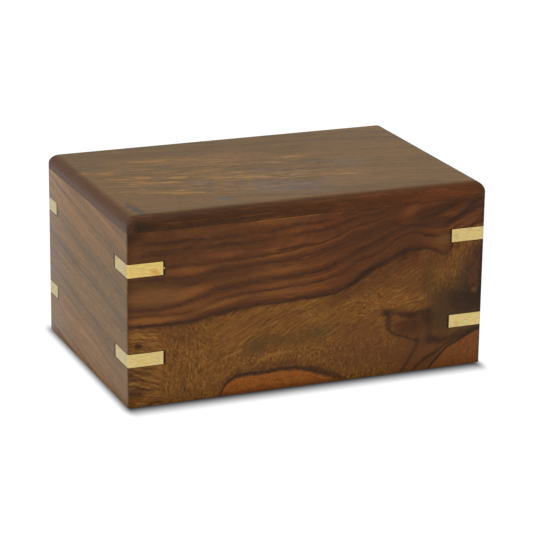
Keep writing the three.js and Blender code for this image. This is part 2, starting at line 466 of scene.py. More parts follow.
def spot(sheet, centre, radii, tilt=0.0):
    """Distance from the middle of an oval: 0 at its centre, 1 on its edge.

    sheet holds the two places on the face and a 1, so that one dot product turns, shifts and scales them
    into a share of a radius of the oval.
    """
    turn = math.radians(tilt)
    shares = []
    for along, up, radius in ((math.cos(turn), math.sin(turn), radii[0]),
                              (-math.sin(turn), math.cos(turn), radii[1])):
        shift = centre[0] * along + centre[1] * up
        shares.append(sheet.dot((along / radius, up / radius, -shift / radius)))
    return joined(*shares, 0.0).length()


def vein(along, across, points, width, strength=1.0):
    """A soft line through points of (along, across): strongest in its middle, fading out past its ends."""
    away = abs(across - guide(along, points))
    start, end = points[0][0], points[-1][0]
    middle = (start + end) / 2
    half = (end - start) / 2
    return away.step(width, width * 0.1, strength) * abs(along - middle).step(half + 2, half - 1)


# %% [markdown]
# Marks that belong to no layer are drawn over the zones: soft smudges where colour gathered, and veins
# that run across the layers. Each is a row of a table, so the whole front can be read as a list.

# %% Smudges and veins of the front
# A smudge: its centre, its radii, its tilt in degrees, its colour and its strength
SMUDGES = [
    # the striped zone
    ((-66, 34.6), (14, 1.8), 0, HONEY, 0.7),
    ((-50, 38.4), (12, 1.8), 6, AMBER, 0.7),
    ((-65, 44), (15, 4.6), 2, TAN, 0.8),
    ((-68, 49), (9, 2.2), 0, OLIVE, 0.5),
    ((-70, 61), (9, 7), 0, BROWN, 0.5),
    ((-14, 68.6), (17, 1.6), 0, AMBER, 0.8),
    # the golden field
    ((-22.5, 19), (8, 4.4), 20, OLIVE, 0.8),
    ((-12, 20), (8, 3), 0, OLIVE, 0.7),
    ((3, 21.4), (10, 4), 4, OLIVE, 0.75),
    ((16, 21), (8, 4.5), 0, BROWN, 0.5),
    ((-12, 10.6), (9, 2.2), 0, BROWN, 0.6),
    ((-30, 26), (9, 6), 20, HONEY, 0.3),
    ((3, 30), (9, 5), 10, STRAW, 0.25),
    ((-70, 19), (7, 8), 0, OLIVE, 0.3),
    ((24, 9), (26, 8), -4, BROWN, 0.6),
    ((-54, 27), (11, 5), 0, BROWN, 0.45),
    ((26, 19), (12, 9), 0, CHESTNUT, 0.5),
    ((34, 31), (13, 4), 6, HONEY, 0.25),
    ((44, 41), (13, 7), 20, BROWN, 0.5),
    ((14, 35), (14, 3), 24, BROWN, 0.7),
    ((33, 43), (16, 5), 27, BROWN, 0.8),
    ((44, 46.5), (10, 4), 0, BROWN, 0.6),
    # the dark right end
    ((56, 40), (12, 12), 0, OLIVE, 0.35),
    ((67, 27), (17, 12), 10, DUSK, 0.9),
    ((57, 21), (8, 11), 0, srgb("#49321c"), 0.85),
    ((55, 46), (9, 4), -15, BROWN, 0.5),
    ((57, 31), (7, 4), 0, DUSK, 0.4),
    ((63.5, 28.6), (4, 4.4), 30, INK, 0.45),
    ((71, 29), (6, 9), 0, INK, 0.6),
    ((70.5, 40.5), (6, 8), 25, DUSK, 0.85),
    ((66.5, 35.5), (3.4, 5), 20, DUSK, 0.55),
    ((72, 36), (3, 3), 0, RUSSET, 0.4),
    ((71.6, 31.5), (1.5, 1.5), 0, TAN, 0.5),
    ((57, 40.5), (5.5, 4), 0, HONEY, 0.15),
    ((66, 50), (6, 3), 0, RUSSET, 0.3),
    ((71, 46), (5, 6), 20, BROWN, 0.6),
    ((44, 46), (5, 5), 60, RUSSET, 0.35),
    ((53, 48.5), (5, 1.8), -25, BROWN, 0.5),
    ((74.3, 36), (1.2, 22), 0, INK, 0.6),
    # the hooked knot
    ((43.5, 20), (10.5, 7.6), -8, srgb("#4f2c15"), 1.0),
    ((46, 18), (9, 4), 0, UMBER, 0.4),
    ((38.4, 22.8), (4.6, 1.4), -12, AMBER, 0.75),
    ((51, 22.4), (3.6, 3.4), 0, INK, 0.55),
    ((33, 25.4), (3.4, 2.2), -15, UMBER, 0.6),
    ((50, 12), (11, 4), -5, srgb("#5a351b"), 0.8),
    # the lower right corner
    ((46, 6), (13, 9), 10, srgb("#60381b"), 0.9),
    ((57, 12), (9, 3), 0, UMBER, 0.85),
    ((54, 12.6), (3, 1.8), 0, DUSK, 0.7),
    ((68, 14.6), (9, 2.6), 15, DUSK, 0.7),
    ((54, 5.4), (6, 3), 35, UMBER, 0.5),
    # the upper right corner
    ((42, 67), (6, 3.6), 30, RUSSET, 0.8),
    ((43, 67.6), (4, 2), 30, AMBER, 0.5),
    ((53, 65.5), (9, 3.2), 18, UMBER, 0.8),
    ((70, 67), (6, 3.6), 30, DUSK, 0.7),
    ((52, 60.5), (11, 1.8), 2, UMBER, 0.7),
    ((57, 54), (5, 3), 10, srgb("#6e4a22"), 0.8),
    ((69, 61), (6, 2), 15, CHESTNUT, 0.7),
    # touches all over the front, above all the rest
    ((-5, 42.3), (8, 3), 5, srgb("#5a371f"), 0.45),
    ((40.5, 48.8), (4.5, 1.8), 30, srgb("#33200f"), 0.55),
    ((-60, 64.6), (11, 1.3), 0, INK, 0.3),
    ((-64, 60.6), (9, 1.1), 0, INK, 0.35),
    ((-66, 50.6), (7, 0.9), 0, INK, 0.35),
    ((-73.5, 68.6), (6, 2.6), 0, srgb("#2f1b10"), 0.7),
    ((-50, 43.8), (9, 2.8), 12, srgb("#8c5628"), 0.6),
    ((-37, 38.2), (13, 1.5), 9, srgb("#8c5829"), 0.5),
    ((-50, 52.8), (9, 2.2), 0, srgb("#7f4c27"), 0.6),
    ((-36, 57.7), (12, 1.5), 0, srgb("#7f4c27"), 0.5),
    ((-3, 68.6), (12, 1.7), 0, srgb("#5a3622"), 0.55),
    ((10, 55), (5, 1.1), 8, DUSK, 0.5),
    ((72.6, 47), (3.2, 6.6), 0, DUSK, 0.65),
    ((74.6, 54), (1.3, 14), 0, INK, 0.4),
    ((50.5, 37), (3.5, 7), 0, UMBER, 0.5),
    ((45.4, 49.6), (3, 2), 25, UMBER, 0.5),
    ((63.5, 50.8), (2.5, 1.5), 0, UMBER, 0.6),
    ((64, 65.6), (3.5, 1.6), 0, UMBER, 0.5),
]
# A vein along the board: points of (x, z), its half width, its colour and its strength
LONG_VEINS = [
    ([(32, 26.4), (36, 25.9), (41, 24), (45, 23.7), (48, 24.4), (53, 25.2)], 2.4, INK, 0.5),
    ([(46, 1), (49.6, 4), (55.4, 6.8), (59.7, 9.6), (64, 12), (70, 14.4), (75, 17)], 1.4, INK, 0.6),
    ([(53, 13.2), (57, 11.6), (61, 12.4), (66, 14.6)], 1.6, INK, 0.35),
    ([(46, 63.6), (52, 64.6), (57, 66.4), (62, 68.4)], 1.6, INK, 0.4),
    ([(58, 60.6), (62, 62), (66, 64.4), (70, 67.6), (74, 69.6)], 1.6, INK, 0.5),
    ([(66, 56), (69, 58), (72, 60.5), (75, 62.5)], 1.0, INK, 0.5),
    ([(36, 62.4), (40, 61.6), (45, 61), (50, 60.2)], 0.8, INK, 0.35),
    ([(-14, 57.6), (-4, 58.2), (2, 58.4)], 0.6, INK, 0.6),
    ([(-19, 52.6), (-12, 52.4), (-5, 52.8)], 0.6, INK, 0.35),
    ([(-22, 69.4), (-10, 69.7), (3, 69.8)], 0.6, HONEY, 0.6),
    ([(-58, 65.2), (-50, 65.6), (-44, 65)], 0.7, INK, 0.4),
    ([(-66, 61.8), (-58, 62), (-50, 61.7)], 0.6, INK, 0.35),
    ([(-40, 61.9), (-34, 62.2), (-29, 61.8)], 0.6, INK, 0.35),
    ([(0, 7.6), (5, 5.6), (10, 3.8), (14, 1.4), (16, 0.4)], 1.6, INK, 0.5),
    ([(-36, 15.8), (-33, 16.6), (-29, 18)], 0.8, STRAW, 0.6),
    ([(-29, 20.8), (-26, 22.8), (-22.5, 25.6)], 0.9, STRAW, 0.6),
    ([(-21, 13.6), (-17, 14.6), (-13, 15.2), (-9, 15)], 0.8, STRAW, 0.6),
    ([(-7, 32.4), (-3, 33.4), (2, 35)], 0.6, STRAW, 0.7),
    ([(-6, 30.4), (-2, 31.2), (4, 33.4)], 0.6, UMBER, 0.6),
    ([(18, 33.2), (20, 32.6), (22, 33.4)], 0.5, STRAW, 0.6),
    ([(22, 26.4), (24, 26), (26, 27.2)], 0.6, STRAW, 0.6),
    ([(36, 35.4), (38, 34.8), (41, 36)], 0.5, STRAW, 0.6),
    ([(41, 29.4), (45, 30), (49, 31)], 0.6, STRAW, 0.6),
    ([(41, 28.4), (45, 28.8), (49, 29.8)], 0.6, UMBER, 0.5),
]
# A vein across the board: points of (z, x), its half width, its colour and its strength
CROSS_VEINS = [
    ([(12.6, 46.6), (14.4, 42.6), (16.4, 37.8), (18.6, 34.8), (20.6, 34), (23.1, 34.2), (26, 33)],
     2.2, INK, 0.6),
    ([(0.4, 40.2), (4.4, 43), (8.6, 45.6), (11, 46.8), (13.4, 47)], 1.6, INK, 0.5),
    ([(12, 52), (17, 52), (22, 52)], 2.8, INK, 0.4),
    ([(47.6, 60.4), (49.6, 61), (52.4, 61.4)], 0.8, INK, 0.6),
]
# The upper edges of the orange corner and of the orange tongue at the base, as points of (x, z)
EMBER_EDGE = [(48, -12), (53, 1.2), (56, 4), (59.7, 7.6), (64, 10.2), (67.6, 12), (71.4, 13.6),
              (80, 17)]
FLAME_EDGE = [(-40, -6), (-37.4, 0.2), (-36, 3.2), (-33.4, 5.6), (-29.5, 7), (-25, 7.4), (-15, 8),
              (-7.5, 7.4), (0, 5.8), (5, 4), (10, 2.2), (14, -0.2), (20, -6)]


def smudges(sheet, rows):
    """Each smudge in turn, as how much it covers and its tint."""
    for centre, radii, tilt, tint, strength in rows:
        yield spot(sheet, centre, radii, tilt).step(1.3, 0.2, strength), tint


def veins(along, across, rows):
    """Each vein in turn, as how much it covers and its tint."""
    for points, width, tint, strength in rows:
        yield vein(along, across, points, width, strength), tint


def laid_over(colour, *layers):
    """Layers of marks over a colour, the last on top.

    The marks are mixed with each other over black, and the share of the board that they leave clear is
    kept beside them. So the renderer can forget each mark at once, where a chain that began with the
    board's colour would make it hold all of them.
    """
    paint, clear = BLACK, WHITE
    for layer in layers:
        for cover, tint in layer:
            paint = mixed(cover, paint, tint)
            clear = mixed(cover, clear, BLACK)
    shown = mixed(1.0, colour, clear, "MULTIPLY")
    return mixed(1.0, shown, paint, "ADD")


# %% [markdown]
# The front has two kinds of grain. Above, the bands follow the layers. Below lies the golden field, whose
# hair-fine fibres turn from upright at the ends to a slant in the middle. Each stretch is a noise stretched
# along its own direction, and soft masks lead from one to the next.

# %% The striped zone
def striped_zone(x, y, layer):
    """Brown to amber bands between dark lines."""
    planks = joined(x, layer * LAYER_DEPTH, y)
    stops = [(at / LAYERS, colour) for at, colour in BANDS]
    colour = layer.node("ValToRGB", {COLOUR_STOPS: stops}, {"Fac": layer / LAYERS})
    tone = noise(planks, (30, 1.6, 1.6), 11.0, 3.0, 0.6)
    colour = mixed(tone.step(0.5, 0.3) * 0.4, colour, UMBER)
    colour = mixed(tone.step(0.55, 0.75) * 0.3, colour, HONEY)
    colour = mixed(x.step(15, -35) * 0.13 + 0.04, colour, HONEY)
    colour = mixed(layer_ramp(layer, LIGHT_BANDS) * x.step(5, -30), colour, HONEY)
    ticks = noise(planks, (7, 0.7, 0.8), 15.0, 3.0, 0.65)
    colour = mixed(ticks.step(0.46, 0.3) * 0.55, colour, DUSK)
    colour = mixed(ticks.step(0.52, 0.7) * 0.5, colour, HONEY)
    reddish = noise(planks, (40, 5, 5), 31.0, 2.0).step(0.42, 0.62)
    colour = mixed(reddish * 0.25, colour, RUSSET)
    colour = mixed(x.step(-25, 15), colour, REDDENED, "MULTIPLY")
    colour = mixed(x.step(20, 50) * 0.8, colour, SHADED, "MULTIPLY")
    dashes = noise(planks, (8, 3, 3), 5.0, 2.0, 0.6).step(0.36, 0.6) * 0.75 + 0.25
    return mixed(layer_ramp(layer, THIN_LINES) * dashes * x.step(62, 50), colour, INK)


# %% The grain of the golden field
def towards(first, second, *shares):
    """The first value, moved towards the second by the product of the shares."""
    way = second - first
    for share in shares:
        way = way * share
    return first + way


def hair(x, y, z, lean, seed, size=(1.8, 0.5, 1.2)):
    """Short fine hair, around 0.5. lean is its angle to the board's length in degrees."""
    cosine, sine = math.cos(math.radians(lean)), math.sin(math.radians(lean))
    return noise(joined(x * cosine + z * sine, z * cosine - x * sine, y), size, seed, 3.0, 0.7, 0.4)


def golden_grain(x, y, z):
    """Fibres: upright at both ends, sweeping up between, curly above and mottled below, calm at the knot."""
    sheet = joined(x, z, 1.0)
    strands = hair(x, y, z, 24, 23.0, (3.2, 0.55, 1.2))
    strands = towards(strands, hair(x, y, z, 104, 43.0), x.step(-36, -46))
    streaks = hair(x, y, z, 27, 33.0, (9, 0.9, 1.6))
    strands = towards(strands, streaks, 0.6, spot(sheet, (-16, 29), (26, 9), 6).step(1.1, 0.6))
    curls = noise(joined(x, z, y), (3.6, 1.2, 1.6), 83.0, 2.0, 0.6, 2.6)
    curly = spot(sheet, (26, 32), (26, 6.5), 8).step(1.1, 0.6)
    curly = curly + spot(sheet, (0, 31), (8, 5), 15).step(1.2, 0.4)
    strands = towards(strands, curls, 0.75, curly.clamped())
    strands = towards(strands, hair(x, y, z, -10, 53.0, (6, 0.9, 1.6)), x.step(-60, -64))
    strands = towards(strands, hair(x, y, z, 86, 63.0), x.step(44, 54))
    mottle = hair(x, y, z, 70, 73.0, (1.1, 0.7, 1.2))
    strands = towards(strands, mottle, z.step(22, 14), x.step(-45, -30))
    calm = spot(sheet, (50, 8), (16, 9)).step(1.2, 0.7) + spot(sheet, (60, 22), (12, 10)).step(1.2, 0.7)
    return towards(strands, 0.5, calm.clamped(), 0.6)


# %% The golden field
def golden_zone(place, x, y, z):
    """Golden brown that follows its grain: the colour and the fibres."""
    ripple = noise(place, (8, 8, 6), 19.0, 2.0) - 0.5
    x, z = x + ripple * 4, z + ripple * 5
    strands = golden_grain(x, y, z)
    colour = mixed(noise(place, (12, 9, 9), 29.0).step(0.35, 0.65) * 0.4, GOLD, AMBER)
    colour = mixed(noise(place, (7, 5, 5), 39.0).step(0.5, 0.7) * 0.3, colour, BROWN)
    tint = noise(joined(x - z * 0.4, z + x * 0.3, y), (3.2, 1.3, 2), 49.0, 3.0, 0.6)
    colour = mixed(tint.step(0.48, 0.28) * 0.55, colour, RUSSET)
    colour = mixed(tint.step(0.52, 0.72) * 0.55, colour, srgb("#7c5a22"))
    colour = mixed(strands.step(0.48, 0.7) * 0.7, colour, STRAW)
    return mixed(strands.step(0.52, 0.3) * 0.6, colour, UMBER), strands


# %% [markdown]
# Four features have an edge of their own: the dark shore between the two zones, the orange tongue at the
# base with its dark rim, the orange corner on the right, and the small knot on the left with wavy grain
# under it. Each is painted by the height above its edge or the distance from its middle.

# %% The dark shore between the zones
def with_shore(colour, place, x, shore):
    """Dark wood along the edge of the golden field. shore is the height above that edge."""
    thick = x.step(10, 20) * x.step(44, 39)
    gloom = shore.step(-7, -0.5) * x.step(2, 20) * x.step(54, 44)
    colour = mixed(gloom * 0.6, colour, UMBER)
    colour = mixed(shore.step(-2.6, -0.3) * x.step(-8, -30) * 0.6, colour, UMBER)
    line = shore.step(-0.8, 0.1) * (shore.step(1.6, 0.3) + thick * shore.step(3.2, 1.0)).clamped()
    broken = noise(place, (12, 9, 9), 47.0).step(0.3, 0.6) * 0.5 + 0.5
    return mixed(line * broken * x.step(61, 58) * (thick * 0.25 + 0.6), colour, INK)


# %% The orange tongue and the orange corner
def with_flame(colour, x, y, z, bent_z, shiver):
    """The orange tongue at the base, inside its dark rim and a dusky halo."""
    rise = bent_z - guide(x, FLAME_EDGE)
    licks = noise(joined(x, z + x * 0.05 + shiver * 2, y), (5.5, 0.8, 2), 37.0, 3.0, 0.6)
    burning = mixed(licks.step(0.52, 0.36) * 0.6, FLAME, RUSSET)
    burning = mixed(z.step(2.6, 0.4) * 0.6, burning, RUSSET)
    colour = mixed(rise.step(0.4, -0.5), colour, burning)
    rim = rise.step(-1.0, 0.4) * rise.step(1.8, 0.6)
    halo = rise.step(-0.7, 0.1) * rise.step(5.5, 1.0)
    before_tail = x.step(18, 2)
    colour = mixed(halo * before_tail * 0.45, colour, UMBER)
    return mixed(rim * before_tail * 0.7, colour, INK)


def with_ember(colour, x, bent_x, bent_z):
    """The orange lower right corner and the dark line above it."""
    above = bent_z - guide(bent_x, EMBER_EDGE)
    in_corner = x.step(50, 53)
    colour = mixed(above.step(0.2, -0.8) * in_corner * 0.85, colour, EMBER)
    return mixed(above.step(-0.9, 0) * above.step(1.3, 0.4) * in_corner * 0.85, colour, INK)


# %% The small knot at the left end
def with_knot(colour, x, y, z, bent, shiver):
    """The knot, the pale level grain around it, and the wavy corner with its swirl below."""
    knot = spot(bent, (-71.2, 24.8), (2.0, 1.1))
    colour = mixed(knot.step(1.4, 0.4) * 0.8, colour, INK)
    waves = noise(joined(x, z + x * 0.35 + shiver * 2, y), (14, 1.3, 3), 41.0, 1.0)
    corner = spot(bent, (-71, 10), (9, 7), -15).step(1.2, 0.6)
    colour = mixed(corner * waves.step(0.5, 0.62) * 0.6, colour, srgb("#85622b"))
    colour = mixed(corner * waves.step(0.5, 0.38) * 0.7, colour, UMBER)
    level_lines = noise(joined(x, z, y), (9, 1.0, 3), 45.0, 1.0)
    eyebrow = spot(bent, (-71, 25), (8, 5)).step(1.2, 0.6)
    colour = mixed(eyebrow * level_lines.step(0.5, 0.62) * 0.6, colour, STRAW)
    swirl = spot(bent, (-71.8, 6.4), (3.6, 2.2), -10)
    return mixed(swirl.step(1.3, 0.5) * 0.7, colour, UMBER)


# %% The front wall's finish
FRONT_SCORCH = 0.85


def front_rosewood():
    """The whole front: the zones, the features over them, the marks, then corners, scorching and grain."""
    material, shader, place, (x, y, z) = new_material("rosewood_front", LACQUERED)
    sway = noise(place, (22, 12, 9), 0.0) - 0.5
    shiver = noise(place, (3.4, 3.4, 2.2), 7.0, 2.0, 0.6) - 0.5
    bent_z = z + sway * 2.2 + shiver * 1.2
    bent_x = x + shiver * 1.2

    layer, edge = layer_of(x, bent_z)
    shore = bent_z - edge
    golden, strands = golden_zone(place, x, y, z)
    below = shore.step(0.5, -0.6)
    colour = mixed(below, striped_zone(x, y, layer), golden)
    colour = with_shore(colour, place, x, shore)
    colour = with_flame(colour, x, y, z, bent_z, shiver)

    bent = joined(bent_x, bent_z, 1.0)
    colour = laid_over(colour, smudges(bent, SMUDGES), veins(bent_x, bent_z, LONG_VEINS),
                       veins(bent_z, bent_x, CROSS_VEINS))
    colour = with_ember(colour, x, bent_x, bent_z)
    colour = with_knot(colour, x, y, z, bent, shiver)

    striped = fibres(joined(x, layer * LAYER_DEPTH, y), 2.0)
    strands = towards(striped, strands, below)
    holes = pores(joined(x, z, y), 5.0)
    colour = marked(colour, x, y, scorch(x, z, "front", FRONT_SCORCH))
    finish_wood(shader, colour, strands, holes, 1.3)
    return material


wood = {"front": front_rosewood()}
print(len(wood["front"].node_tree.nodes), "nodes in the front,", len(SMUDGES), "smudges and",
      len(LONG_VEINS) + len(CROSS_VEINS), "veins")


# %% [markdown]
# ### The other boards
#
# The side, back, top and base boards are plainer: straight or gently waving streaks. One function makes
# them all from the board's grain direction, so end grain appears by itself where a board is cut across.

# %% The figure of a plainer board
def plain_figure(grain, look):
    """Streaks, pale gleams and a few dark lines along a grain."""
    seed, pitch = look["seed"], look["pitch"]
    bands = noise(grain, (160, pitch, 9), seed, 4.0, 0.6)
    colour = mixed(bands.step(0.36, 0.64), look["dark"], look["light"])
    gleams = noise(grain, (45, pitch / 3.5, 3), seed + 9, 3.0, 0.6)
    colour = mixed(gleams.step(0.54, 0.74) * look["gleam"], colour, look["pale"])
    lines = noise(grain, (110, pitch / 2, 6), seed + 17, 2.0)
    return mixed(lines.step(0.58, 0.68) * look["ink"], colour, INK)


# %% [markdown]
# The top is seen at a glance, so its lacquer mirrors the white room as a pale haze, and the polish is
# uneven. Under the haze, the left half has short bright gleams. The rounded edges are the board's long edges
# and its end grain, which are darker.

# %% Marks of the top
# Smudges of the top: centre, radii, tilt, colour and strength
TOP_SMUDGES = [
    ((-6, 18), (13, 11), 0, srgb("#7d5329"), 0.6),
    ((-36, 22), (7, 4), -15, srgb("#8c5f24"), 0.5),
    ((-68, 26), (9, 12), 0, srgb("#554020"), 0.5),
    ((24, 2), (8, 4), -15, srgb("#4c4436"), 0.5),
    ((31, -18), (9, 5), -15, srgb("#84592a"), 0.5),
    ((-2, -28), (22, 11), -15, srgb("#635042"), 0.7),
    ((-32, -14), (6, 4), -15, srgb("#565046"), 0.5),
    ((-31, -38), (6, 3), -20, srgb("#565046"), 0.6),
    ((-54, -34), (14, 9), -15, srgb("#6c4a24"), 0.5),
    ((-68, -39), (2.6, 11), 6, srgb("#3c352c"), 0.8),
    ((36, -4), (10, 9), 0, srgb("#6a5a44"), 0.5),
    ((20, -45), (44, 3), 0, srgb("#6a4322"), 0.5),
]
# Pale gleams of the top: points of (x, y), their half width and strength
TOP_GLEAMS = [
    ([(-74, 17), (-68, 13.6), (-61, 11)], 2.6, 0.5),
    ([(-66, 3), (-57, 1.4), (-48, 0.4)], 2.0, 0.55),
    ([(-60, -5), (-50, -7), (-40, -9)], 2.2, 0.5),
    ([(-41, -2.4), (-28, -6), (-15, -10.6)], 2.4, 0.65),
    ([(-48, 26), (-40, 23.6), (-34, 23)], 2.2, 0.4),
    ([(-12, -11.6), (4, -14), (16, -16.4)], 2.2, 0.5),
    ([(-59, -19.4), (-48, -22.6), (-36, -26.6)], 2.2, 0.5),
    ([(18, -17), (28, -20), (34, -23)], 2.6, 0.6),
    ([(14, 11.6), (20, 11), (25, 10)], 1.8, 0.6),
]


# %% The top board's finish
TOP_LOOK = {"seed": 91.0, "pitch": 9, "dark": srgb("#644920"), "light": srgb("#735221"), "pale": STRAW,
            "gleam": 0.2, "ink": 0.12}
GLEAM = srgb("#ad782f")


def long_edges(x, y, z):
    """The top board's long edges: streaked, rosier on the right and dark at the left end."""
    warm = mixed(x.step(-60, 50), srgb("#3f2312"), srgb("#532b12"))
    streaks = noise(joined(x, z * 2, y), (20, 1.8, 1.6), 99.0, 3.0, 0.6)
    colour = mixed(streaks.step(0.5, 0.32) * 0.5, warm, DUSK)
    colour = mixed(streaks.step(0.56, 0.74) * 0.5, colour, AMBER)
    sheet = joined(x, z, 1.0)
    rosy = spot(sheet, (58, 72.4), (18, 2)).step(1.2, 0.2)
    colour = mixed(rosy * 0.6, colour, srgb("#6d3918"))
    gloomy = spot(sheet, (-72, 72), (10, 3)).step(1.2, 0.2)
    return mixed(gloomy * 0.7, colour, INK)


def top_rosewood():
    """The top board: pale gleams and haze on the face, dark long edges, end grain at the short ends."""
    material, shader, place, (x, y, z) = new_material("rosewood_top", LACQUERED)
    bend = (noise(place, (50, 20, 20), 91.0) - 0.5) * 9
    shiver = noise(place, (5, 2.5, 3), 93.0, 3.0, 0.6) - 0.5
    grain = joined(x, y + x * 0.18 + bend, z)
    colour = plain_figure(grain, TOP_LOOK)
    bent_x, bent_y = x + shiver * 9, y + shiver * 5
    bent = joined(bent_x, bent_y, 1.0)
    colour = laid_over(colour, smudges(bent, TOP_SMUDGES))
    left_half = spot(bent, (-24, -4), (60, 32), -8).step(1.1, 0.5)
    flecks = noise(grain, (10, 1.7, 3), 97.0, 3.0, 0.65)
    colour = mixed(flecks.step(0.52, 0.66) * left_half * 0.75, colour, srgb("#9a6d2e"))
    colour = mixed(flecks.step(0.47, 0.36) * left_half * 0.55, colour, srgb("#45351f"))
    for points, width, strength in TOP_GLEAMS:
        gleam = vein(bent_x, y + shiver * 2, points, width, strength) * flecks.step(0.34, 0.56)
        colour = mixed(gleam, colour, GLEAM)

    sides = abs(y).step(WIDTH / 2 - 5, WIDTH / 2 - 1.5)
    ends = abs(x).step(LENGTH / 2 - 4.5, LENGTH / 2 - 1.5)
    colour = mixed(sides * 0.95, colour, long_edges(x, y, z))
    colour = mixed(ends * 0.85, colour, UMBER)
    finish_wood(shader, colour, fibres(grain, 91.0), pores(grain, 91.0), 2.3)

    clouds = noise(place, (8, 5, 5), 95.0, 3.0, 0.65).step(0.4, 0.62)
    haze = spot(bent, (4, -22), (42, 24), -10).step(1.2, 0.3) * clouds * 0.26 + 0.255
    haze = haze + x.step(20, 60) * y.step(-5, 40) * 0.07
    flat_top = z.step(HEIGHT - 1.6, HEIGHT - 0.1)
    link(shader, "Coat Weight", flat_top * haze + ends * (1 - flat_top) * 0.25)
    return material


# %% [markdown]
# The walls and the base differ only in how their grain lies and in their tones, so each is one look: a few
# named values. The left wall's lacquer is hazy towards the back, where it is seen more at a glance.

# %% The side, back and base boards
GRAIN_AXES = {"x up": (0, 2, 1), "y up": (1, 2, 0), "x flat": (0, 1, 2)}


def plain_rosewood(name, look):
    """Rosewood whose grain runs along one axis, across its face or through its thickness."""
    material, shader, _, axes = new_material(name, {**LACQUERED, "Coat Weight": look["coat"]})
    along, across, deep = [axes[axis] for axis in GRAIN_AXES[look["grain"]]]
    bend = (noise(joined(along, across, deep), (50, 20, 20), look["seed"]) - 0.5) * look["wave"]
    grain = joined(along, across + along * look["slope"] + bend, deep)
    colour = plain_figure(grain, look)
    if "shade" in look:
        colour = mixed(along.step(10, -45), colour, look["shade"], "MULTIPLY")
        colour = mixed(abs(across - HEIGHT / 2).step(8, 26), colour, WARMED, "MULTIPLY")
    if "side" in look:
        burnt = scorch(along, across, look["side"], look["reach"])
        colour = marked(colour, axes[0], axes[1], burnt)
        haze = along.step(10, 50) * look["haze"] + look["coat"]
        link(shader, "Coat Weight", haze * (1 - burnt))
    finish_wood(shader, colour, fibres(grain, look["seed"]), pores(grain, look["seed"]), look["contrast"])
    return material


SIDE_LOOK = {"grain": "y up", "seed": 3.0, "slope": -0.12, "wave": 5, "pitch": 4, "dark": srgb("#664b25"),
             "light": srgb("#7b582b"), "pale": srgb("#94672f"), "gleam": 0.35, "ink": 0.3,
             "contrast": 2.3, "side": "left", "reach": 1.3, "shade": (0.86, 0.86, 0.84, 1), "coat": 0.35,
             "haze": 0.42}
RIGHT_LOOK = {**SIDE_LOOK, "seed": 53.0, "slope": 0.06, "side": "right", "reach": 0.7}
BACK_LOOK = {"grain": "x up", "seed": 71.0, "slope": 0.04, "wave": 16, "pitch": 6, "dark": UMBER,
             "light": AMBER, "pale": STRAW, "gleam": 0.3, "ink": 0.8, "contrast": 2.0,
             "side": "back", "reach": 0.85, "coat": 0.2, "haze": 0.0}
BASE_LOOK = {"grain": "x flat", "seed": 113.0, "slope": 0.0, "wave": 7, "pitch": 5, "dark": BROWN,
             "light": GOLD, "pale": STRAW, "gleam": 0.3, "ink": 0.3, "contrast": 1.8, "coat": 0.2}

wood["left"] = plain_rosewood("rosewood_left", SIDE_LOOK)
wood["right"] = plain_rosewood("rosewood_right", RIGHT_LOOK)
wood["back"] = plain_rosewood("rosewood_back", BACK_LOOK)
wood["top"] = top_rosewood()
wood["base"] = plain_rosewood("rosewood_base", BASE_LOOK)
print({name: len(material.node_tree.nodes) for name, material in wood.items()}, "nodes in each wood")


# %% [markdown]
# ## Brass
#
# The keys are strip brass, sanded flush with the wood along each leg. That leaves fine scratches one way,
# which catch the light as thin bright and dull lines. A thin film of lacquer over them makes the brass
# paler where it is seen at a glance.

# %% Brass finishes
BRASS_CONSTANTS = {"Metallic": 1.0, "Coat Weight": 0.5, "Coat IOR": 1.3, "Coat Roughness": 0.4,
                   "Specular Tint": (0.65, 0.8, 1.0, 1.0)}
YELLOWED = srgb("#f2cf74")
STAIN = srgb("#d08a35")


def sanded_brass(name, clean, tarnished, dull):
    """Scratched brass. The front leg of the upper left front key is yellowed, with a small stain."""
    material, shader, place, (x, y, z) = new_material(name, BRASS_CONSTANTS)
    lean = joined(x + y, z + (x + y) * 0.25, x - y)
    scratches = noise(lean, (3.5, 0.4, 3), 2.0, 3.0, 0.7)
    clouds = noise(place, (5, 5, 4), 8.0)
    sheet = joined(x, z, 1.0)
    yellowed = spot(sheet, (-68, 55), (9, 4)).step(1.2, 0.8) * y.step(-WIDTH / 2 + 1, -WIDTH / 2 + 0.2)
    stain = spot(sheet, (-64, 53.6), (2.6, 1.6), -30).step(1.2, 0.2) * yellowed
    colour = mixed(yellowed * 0.7, clean, YELLOWED)
    colour = mixed(clouds.step(0.5, 0.8) * 0.5, colour, tarnished)
    colour = mixed(stain * 0.6, colour, STAIN)
    light = scratches * 1.1 + 0.47
    link(shader, "Base Color", mixed(1.0, colour, light, "MULTIPLY"))
    link(shader, "Roughness", scratches * 0.25 + dull)
    bumped(shader, scratches, 0.01, 0.6)
    return material


key_brass = sanded_brass("sanded_brass", srgb("#e6cc86"), srgb("#cf9f52"), 0.26)
screw_brass = sanded_brass("dull_brass", srgb("#b9975a"), srgb("#8a6a35"), 0.36)
print(len(key_brass.node_tree.nodes), "nodes in each brass")

# %% [markdown]
# ## Pieces
#
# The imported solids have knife-sharp edges and flat facets. Real boards are sanded, so each edge catches a
# thin line of light. Each piece here is a copy of its solid with its facets merged, its sharp edges eased
# by a few hundredths of a millimetre and its rounded faces shaded smooth.

# %% Easing the edges of a copy
WELD = 1e-6
FLAT_ANGLE = math.radians(1)
SHARP_ANGLE = math.radians(40)
MITRE_REACH = 0.4 * MM
ROUNDED = {"segments": 2, "profile": 0.5, "affect": "EDGES"}


def on_mitre(place):
    """Whether a place lies on the 45-degree joint between two walls."""
    from_end = high.x - abs(place.x)
    from_face = high.y - abs(place.y)
    return abs(from_end - from_face) < MITRE_REACH


